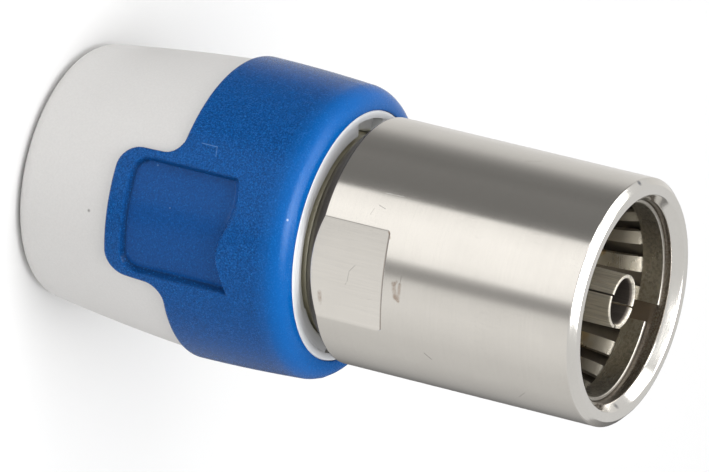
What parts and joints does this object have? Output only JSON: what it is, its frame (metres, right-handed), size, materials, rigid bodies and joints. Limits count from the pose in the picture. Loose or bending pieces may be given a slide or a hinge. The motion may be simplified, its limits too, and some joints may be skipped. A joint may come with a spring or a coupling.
{
  "type": "iec coaxial connector",
  "caption": "Inline coaxial aerial socket: round metal shell with a split centre contact and lantern spring, and a grippy screw cap that clamps the cable behind it.",
  "frame": {"origin": "centre of the rear face of the cap, on which the connector stands", "axes": "+Z along the axis from the cable hole to the open socket; the two grip tongues face -Y and +Y"},
  "size_m": [0.016, 0.0158, 0.0325],
  "materials": {
    "nickel": "bright nickel plate, finely turned",
    "contact_metal": "dull nickel plate",
    "insulator": "smooth",
    "seal_rubber": "matte",
    "white_plastic": "fine satin",
    "blue_plastic": "fine matte grain"
  },
  "bodies": {
    "socket": {"outer_shell": "nickel", "contact_spring": "contact_metal", "centre_contact": "contact_metal", "contact_insulator": "insulator", "wire_guide": "insulator", "threaded_neck": "nickel", "braid_post": "nickel"},
    "clamp": {"clamp_collet": "insulator", "thrust_washer": "nickel"},
    "cap": {"cap_sleeve": "white_plastic", "grip_collar": "blue_plastic", "cable_seal": "seal_rubber"}
  },
  "joints": [
    {"name": "cap_turn", "type": "hinge", "parent": "cap", "child": "clamp", "pos_m": [0, 0, 0], "axis": [0, 0, 1], "range_deg": [-74.5, 1083]},
    {"name": "socket_slide", "type": "slide", "parent": "clamp", "child": "socket", "axis": [0, 0, 1], "range_m": [-0.0002, 0.003]}
  ],
  "couplings": [
    {"joint": "cap_turn", "follows": "socket_slide", "rad_per_m": 6283.2}
  ]
}
